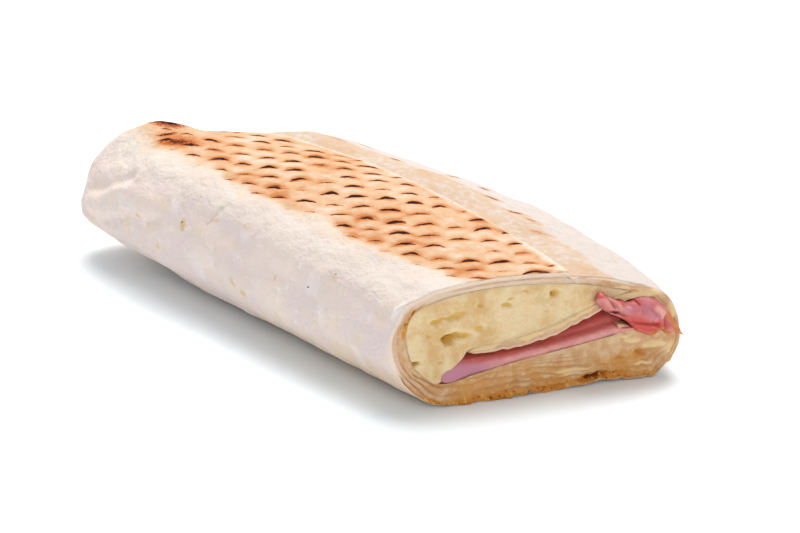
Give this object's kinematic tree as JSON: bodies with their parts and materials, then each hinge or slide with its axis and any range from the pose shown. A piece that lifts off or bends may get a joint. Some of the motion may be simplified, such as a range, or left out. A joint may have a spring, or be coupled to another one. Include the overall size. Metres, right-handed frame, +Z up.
{
  "type": "grilled ham and cheese wrap",
  "caption": "Flat pressed wrap of thin grilled flatbread, cut open at one end to show melted cheese and ham between its rolled layers.",
  "frame": {"origin": "on the surface the wrap lies on, under the middle of its box", "axes": "+X along the roll with the cut end at +X, +Y towards the side behind the seam, +Z up"},
  "size_m": [0.1778, 0.088, 0.0385],
  "materials": {
    "flatbread": "soft matte toasted dough, white and floury on the sides, browned in short marks on top",
    "cheese": "soft pale melted cheese with small ochre holes, slightly moist",
    "ham": "moist pink cooked ham, redder in its folds and browned at the torn edge"
  },
  "bodies": {
    "root": {"flatbread": "flatbread", "cheese": "cheese", "ham_slice": "ham", "ham_fold": "ham"}
  },
  "joints": []
}
